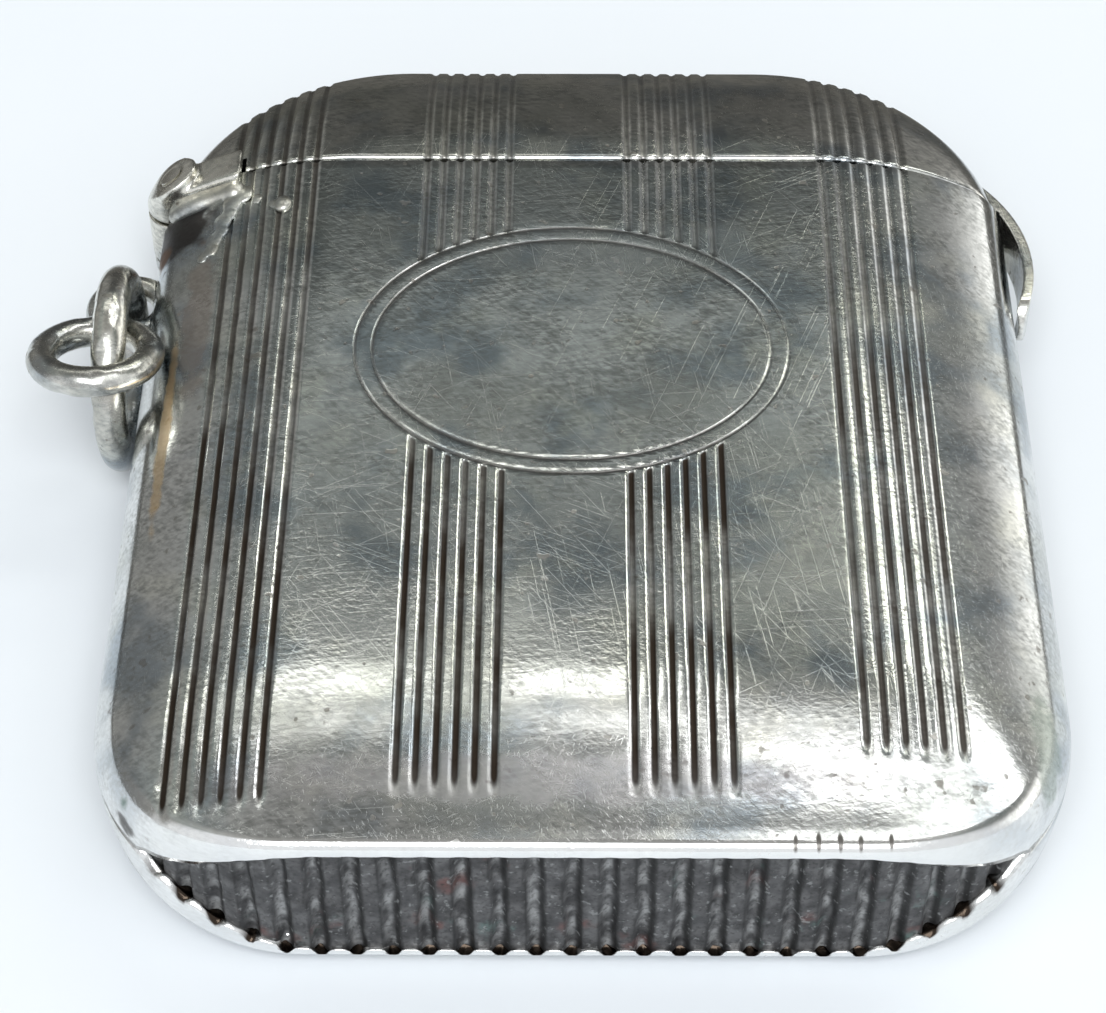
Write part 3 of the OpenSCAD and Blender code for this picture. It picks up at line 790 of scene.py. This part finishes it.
for x, y, radius, flatness in solder_drops:
    run = -x - CORNER_X
    if run < CROWN_END:
        lean = math.asin(run / CROWN_R)
        high = 2 * MID_Z - CROWN_R + CROWN_R * math.cos(lean)
    else:
        lean = math.asin((run - EDGE_RUN + SIDE_R) / SIDE_R)
        high = MID_Z + SIDE_R * math.cos(lean)
    drop = Matrix.Translation((x * MM, y * MM, high * MM)) @ Matrix.Rotation(-lean, 4, "Y")
    drop = drop @ Matrix.Diagonal((1, SOLDER_STRETCH, flatness, 1))
    bmesh.ops.create_icosphere(work, subdivisions=3, radius=radius * MM, matrix=drop)
solder = loose_piece("hinge_solder", work)
solder.data.materials.append(solder_silver)
run_together(solder, voxel=0.06, rounds=8)
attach(solder, "body")


# Hinge pin and leaf spring: a drawn wire riveted through the three knuckles, and a bent strip of
# blued spring steel inside the body that bears on the flat of the lid's knuckle.
pin_silver = silver("pin_silver", (0.78, 0.76, 0.70), (0.45, 0.43, 0.38), (0.25, 0.22, 0.18),
                    rough=0.25, dull_from=0.48, stain_from=0.6, scratched=0.5)
dressed("hinge_pin", pin_silver)
spring_blue = silver("spring_steel_blued", (0.42, 0.43, 0.46), (0.22, 0.23, 0.28), (0.20, 0.13, 0.09),
                     rough=0.3, dull_from=0.45, stain_from=0.62, scratched=0.6)
dressed("lid_spring", spring_blue)


# Lid: front and back shells pressed from the same sheet to the same section, rounded at the top
# corners, with the bands of lines running over them. The edge at the seam is rubbed round and bright.
LID_CORNER_X, LID_CORNER_Y, LID_CORNER_R, LID_EDGE_ROUND = 8.5, 12.8, 12.0, 0.26
SADDLE_ROOM_X, SADDLE_ROOM_Y = -16.27, 15.77
LID_KNUCKLE_LOW, LID_KNUCKLE_HIGH = 3.4, 6.0
LID_RING_STEP, LID_COLUMNS, LID_SECTORS, SEAM_LIFT = 0.105, 175, 92, 0.6
lid_mouth = SEAM_Y + SEAM_GAP / 2


def lid_patches(columns):
    """Patches of the lid's outer surface: a middle strip, and a fan at each round top corner."""
    seam_r = lid_mouth - LID_CORNER_Y
    near_seam = LID_EDGE_ROUND * np.array([0, 0.06, 0.15, 0.28, 0.47, 0.7, 1])
    run, rise, lean = edge_rings(LID_RING_STEP)
    flat_r = np.arange(seam_r + LID_EDGE_ROUND, LID_CORNER_R - EDGE_RUN, LID_RING_STEP)[1:]
    lead = np.concatenate([seam_r + near_seam, flat_r])
    ring_r = np.concatenate([lead, LID_CORNER_R - EDGE_RUN + run])
    ring_z = np.concatenate([0 * lead + MID_Z, rise])
    ring_lean = np.concatenate([0 * lead, lean])
    ring_up = np.sqrt(np.clip(1 - ring_lean ** 2, 0, 1))
    ring_r[-1] -= JOINT_ROUND

    def eased(y):
        near = np.clip(lid_mouth + LID_EDGE_ROUND - y, 0, LID_EDGE_ROUND)
        return LID_EDGE_ROUND - np.sqrt(LID_EDGE_ROUND ** 2 - near ** 2)

    strip = np.zeros((len(ring_r), len(columns), 3))
    strip[..., 0] = columns
    strip[..., 1] = (LID_CORNER_Y + ring_r)[:, None]
    strip[..., 2] = (ring_z - eased(LID_CORNER_Y + ring_r) * ring_up)[:, None]
    patches = {"strip": strip}
    for name, way in (("left", -1), ("right", 1)):
        fan = np.zeros((LID_SECTORS + len(near_seam), len(ring_r), 3))
        for i, r in enumerate(ring_r):
            lift = np.minimum(near_seam, SEAM_LIFT * (r - seam_r) * near_seam / LID_EDGE_ROUND)
            low = np.arcsin(np.clip((seam_r + lift) / r, -1, 1))
            turn = np.concatenate([low, np.linspace(low[-1], math.pi / 2, LID_SECTORS + 1)[1:]])
            y = LID_CORNER_Y + r * np.sin(turn)
            drop = eased(y)
            out = r - drop * ring_lean[i]
            fan[:, i, 0] = way * (LID_CORNER_X + out * np.cos(turn))
            fan[:, i, 1] = y
            fan[:, i, 2] = ring_z[i] - drop * ring_up[i]
        patches[name] = fan
    return patches


def lid_lining(grid):
    """The lid's surface set back by about the thickness of the sheet."""
    inner = grid.copy()
    inner[..., 0] *= 1 - SHEET / HALF_W
    inner[..., 1] = lid_mouth + (grid[..., 1] - lid_mouth) * (1 - SHEET / (HALF_H - lid_mouth))
    inner[..., 2] *= 1 - SHEET / MID_Z
    return inner


LID_EDGE = (("strip", 0, None), ("strip", -1, None), ("left", 0, None), ("left", None, -1),
            ("right", 0, None), ("right", None, -1))
lid_silver = silver("lid_silver", (0.88, 0.87, 0.83), (0.60, 0.59, 0.55), (0.45, 0.47, 0.40),
                    rough=0.12, dull_from=0.44, stain_from=0.56, scratched=1.0, cut="lines")
lid_columns = np.linspace(-LID_CORNER_X, LID_CORNER_X, LID_COLUMNS)
lid_thinning = {"strip": (6, 6), "left": (6, 6), "right": (6, 6)}
for node, way, low, high in (("lid_front_shell", 1, LID_KNUCKLE_HIGH, OVER),
                             ("lid_back_shell", -1, UNDER, LID_KNUCKLE_LOW)):
    lid = shell(node + "_engraved", lid_patches(lid_columns), LID_EDGE, lid_thinning, lid_lining, way)
    worked(lid, *engraving(lid_silver, False))
    cut_away(lid, hinge_room(), block("saddle_room", (-HALF_W - PAST, SEAM_Y - PAST, low),
                                      (SADDLE_ROOM_X, SADDLE_ROOM_Y, high)))
    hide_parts(node)
    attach(lid, "lid")


# Lid's knuckle: the middle length of hinge tube with a strap soldered over the side of the lid,
# filed flat on the inside for the spring.
lid_knuckle = softened("lid_knuckle_worn", "lid_knuckle", hinge_silver, voxel=0.06, rounds=6)
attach(lid_knuckle, "lid")


# Thumbpiece: a small bent tongue of thick sheet soldered to the lid opposite the hinge, rounded at
# its tip and polished by use.
thumb_silver = silver("thumb_silver", (0.84, 0.82, 0.77), (0.50, 0.48, 0.42), (0.30, 0.27, 0.21),
                      rough=0.18, dull_from=0.5, stain_from=0.62, scratched=1.0)
thumb = softened("thumbpiece_worn", "thumbpiece", thumb_silver, voxel=0.035, rounds=16)
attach(thumb, "lid")


# Eye: a short bow of round silver wire, soldered by its two feet to the side of the case below the
# hinge, so that the suspension ring can swing in it.
# The rings' silver is darker and more stained than the body's: partly tarnish, partly painted shade for the
# shade the rings lie in against the side of the case.
ring_silver = silver("ring_silver", (0.78, 0.76, 0.70), (0.34, 0.33, 0.29), (0.12, 0.11, 0.09),
                     rough=0.17, dull_from=0.42, stain_from=0.54, scratched=1.0)
eye_bow = softened("suspension_eye_worn", "suspension_eye", ring_silver, voxel=0.05, rounds=4)
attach(eye_bow, "body")


# Suspension ring and jump ring: round silver wire bent to a ring and soldered shut, the first through
# the eye, the second through the first, dented and worn bright by the chain.
RING_R, RING_WIRE, JUMP_R, JUMP_WIRE = 4.05, 1.6, 2.45, 1.4
RING_POINTS, WIRE_POINTS, DENT_DEPTH = 192, 40, 0.05


def wire_ring(material, radius, wire):
    """Tree that sweeps a round wire along a circle, with dents."""
    sizes = {"Ring Radius": radius * MM, "Wire Radius": wire / 2 * MM, "Dents": DENT_DEPTH * MM}
    tree, size, start, end = work_recipe("wire_ring", sizes, material)
    path = tree.nodes.new("GeometryNodeCurvePrimitiveCircle")
    path.inputs["Resolution"].default_value = RING_POINTS
    tree.links.new(size["Ring Radius"].socket, path.inputs["Radius"])
    round_wire = tree.nodes.new("GeometryNodeCurvePrimitiveCircle")
    round_wire.inputs["Resolution"].default_value = WIRE_POINTS
    tree.links.new(size["Wire Radius"].socket, round_wire.inputs["Radius"])
    swept = tree.nodes.new("GeometryNodeCurveToMesh")
    tree.links.new(path.outputs["Curve"], swept.inputs["Curve"])
    tree.links.new(round_wire.outputs["Curve"], swept.inputs["Profile Curve"])
    spot = Flow(tree, tree.nodes.new("GeometryNodeInputPosition").outputs[0])
    set_back(tree, spot, spot.noise(900.0, 1.0).ramp(0.5, 0.75) * size["Dents"], swept.outputs[0], end)
    return tree, sizes


def laid(place, turns):
    """A place and the turns before it, about X, Y and Z in degrees, as one move."""
    move = Matrix.Translation([c * MM for c in place])
    for angle, axis in turns:
        move = move @ Matrix.Rotation(math.radians(angle), 4, axis)
    return move


ring_place = laid((-21.6, 4.95, 4.9), ((90, "Y"),))
jump_place = laid((-21.6, 2.434, 8.074), ((-17.1, "X"),)) @ laid((-0.62, 0.33, 0), ())
for name, node, body, radius, wire, move in (
        ("suspension_ring_worn", "suspension_ring", "ring", RING_R, RING_WIRE, ring_place),
        ("jump_ring_worn", "jump_ring", "jump", JUMP_R, JUMP_WIRE, jump_place)):
    ring = loose_piece(name, bmesh.new())
    worked(ring, *wire_ring(ring_silver, radius, wire))
    ring.data.transform(move)
    outward(ring.data)
    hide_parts(node)
    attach(ring, body)


# Table, light and camera: a pale paper table, soft light from overhead, and the view of the
# photograph, from above the base end.
PAPER_GREY, PAPER_WHITE, DARK_ROOM = (0.78, 0.82, 0.86), (0.82, 0.85, 0.88), (0.09, 0.085, 0.075)
PAST_LID, FULLY_PAST, TABLE_HALF = 0.026, 0.034, 1.5
paper, sheet, sheet_face, sheet_place = plain_material("table_paper")
# Painted reflection: beyond the lid end, glossy rays see the paper as a dark room.
mirrored = Flow(sheet, sheet.nodes.new("ShaderNodeLightPath").outputs["Is Glossy Ray"])
dark_room_reflected = sheet_place.axis("Y").ramp(PAST_LID, FULLY_PAST) * mirrored
tone = tinted(sheet, sheet_place.noise(60.0, 6.0), PAPER_GREY, PAPER_WHITE)
tone = tinted(sheet, dark_room_reflected, tone, DARK_ROOM)
sheet.links.new(tone.socket, sheet_face.inputs["Base Color"])
sheet_face.inputs["Roughness"].default_value = 0.9
table_mesh = bpy.data.meshes.new("table")
table_corners = [(x * TABLE_HALF, y * TABLE_HALF, 0) for x, y in ((-1, -1), (1, -1), (1, 1), (-1, 1))]
table_mesh.from_pydata(table_corners, [], [(0, 1, 2, 3)])
table = bpy.data.objects.new("table", table_mesh)
bpy.context.scene.collection.objects.link(table)
table_mesh.materials.append(paper)

world = bpy.data.worlds.new("room")
world.use_nodes = True
bpy.context.scene.world = world
room = world.node_tree
sky = Flow(room, room.nodes.new("ShaderNodeTexCoord").outputs["Generated"])
height, across, behind = sky.axis("Z"), sky.axis("X"), sky.axis("Y") * -1.0


def room_tones(stops):
    """Tones of the room by height, from the table's level to overhead."""
    ramp = room.nodes.new("ShaderNodeValToRGB")
    room.links.new(height.socket, ramp.inputs["Fac"])
    while len(ramp.color_ramp.elements) < len(stops):
        ramp.color_ramp.elements.new(0.5)
    for element, (at, level, tint) in zip(ramp.color_ramp.elements, stops):
        element.position = at
        element.color = (*(level * t for t in tint), 1)
    return Flow(room, ramp.outputs["Color"])


CREAM, GREEN, WHITE = (1.0, 1.0, 0.96), (0.95, 1.03, 1.0), (1.0, 1.0, 0.97)
BEHIND_CAMERA, BACKDROP = (0.85, 0.87, 0.9), (0.80, 0.84, 0.88)
far = room_tones(((0.0, 0.105, CREAM), (0.55, 0.105, CREAM), (0.65, 0.09, GREEN), (0.675, 0.09, GREEN),
                  (0.712, 0.43, GREEN), (0.757, 0.17, GREEN), (0.785, 0.21, GREEN), (0.86, 0.3, WHITE)))
near_side = room_tones(((0.0, 0.3, CREAM), (0.4, 0.3, WHITE), (0.7, 0.36, GREEN), (0.9, 0.45, WHITE)))
right_side = room_tones(((0.0, 1.6, WHITE), (0.25, 1.4, WHITE), (0.42, 0.4, WHITE), (0.6, 0.22, GREEN)))
tones = tinted(room, across.math("ABSOLUTE").ramp(0.15, 0.6), far, near_side)
tones = tinted(room, across.ramp(0.48, 0.74), tones, right_side)
tones = tinted(room, behind.ramp(0.0, 0.35), tones, BEHIND_CAMERA)
seen = room.nodes.new("ShaderNodeLightPath").outputs["Is Camera Ray"]
tones = tinted(room, Flow(room, seen), tones, BACKDROP)
room.links.new(tones.socket, room.nodes["Background"].inputs["Color"])


def softbox(name, place, size, brightness, tone):
    """A soft light of a given brightness, lying across the case and facing it."""
    lamp = bpy.data.lights.new(name, "AREA")
    lamp.shape = "RECTANGLE"
    lamp.size, lamp.size_y = size
    lamp.energy = brightness * math.pi * size[0] * size[1]
    lamp.color = tone
    holder = bpy.data.objects.new(name, lamp)
    bpy.context.scene.collection.objects.link(holder)
    holder.location = place
    holder.rotation_euler = Vector((0, -place[1], -place[2])).to_track_quat("-Z", "Y").to_euler()


LIGHT_DISTANCE = 0.8


def raised(elevation, x):
    """A place on the far side of the case, at an elevation in degrees."""
    angle = math.radians(elevation)
    return x, LIGHT_DISTANCE * math.cos(angle), LIGHT_DISTANCE * math.sin(angle)


softbox("overhead", (0.0, -0.42, 0.62), (0.5, 0.4), 6.1, (0.97, 0.99, 1.0))
softbox("long_strip", raised(56.0, -0.22), (0.5, 0.055), 2.2, (1.0, 1.0, 0.93))
softbox("short_strip", raised(61.5, -0.05), (0.6, 0.045), 1.3, (1.0, 1.0, 0.97))
softbox("right_window", raised(68.0, 0.3), (0.5, 0.09), 4.2, (1.0, 1.0, 1.0))
softbox("corner_window", (0.5, 0.35, 0.52), (0.3, 0.14), 2.6, (1.0, 1.0, 1.0))
softbox("far_window", (0.26, 0.506, 0.571), (0.3, 0.055), 4.0, (1.0, 1.0, 0.88))

SENSOR, FOCAL, NEAREST = 36.0, 93.66, 0.005
EYE = (-0.373, -89.185, 101.636)
AZIMUTH, ELEVATION, ROLL = -0.6277, 48.5, -0.2729
lens = bpy.data.cameras.new("camera")
lens.sensor_fit = "HORIZONTAL"
lens.sensor_width = SENSOR
lens.lens = FOCAL
lens.clip_start = NEAREST
camera = bpy.data.objects.new("camera", lens)
bpy.context.scene.collection.objects.link(camera)
bpy.context.scene.camera = camera
azimuth, elevation, roll = (math.radians(angle) for angle in (AZIMUTH, ELEVATION, ROLL))
ahead = Vector((math.sin(azimuth) * math.cos(elevation), math.cos(azimuth) * math.cos(elevation),
                -math.sin(elevation)))
level = Vector((math.cos(azimuth), -math.sin(azimuth), 0))
above = level.cross(ahead)
right = math.cos(roll) * level + math.sin(roll) * above
up = -math.sin(roll) * level + math.cos(roll) * above
facing = Matrix((right, up, -ahead)).transposed().to_4x4()
camera.matrix_world = Matrix.Translation(Vector(EYE) * MM) @ facing
bpy.context.scene.view_settings.view_transform = "Standard"
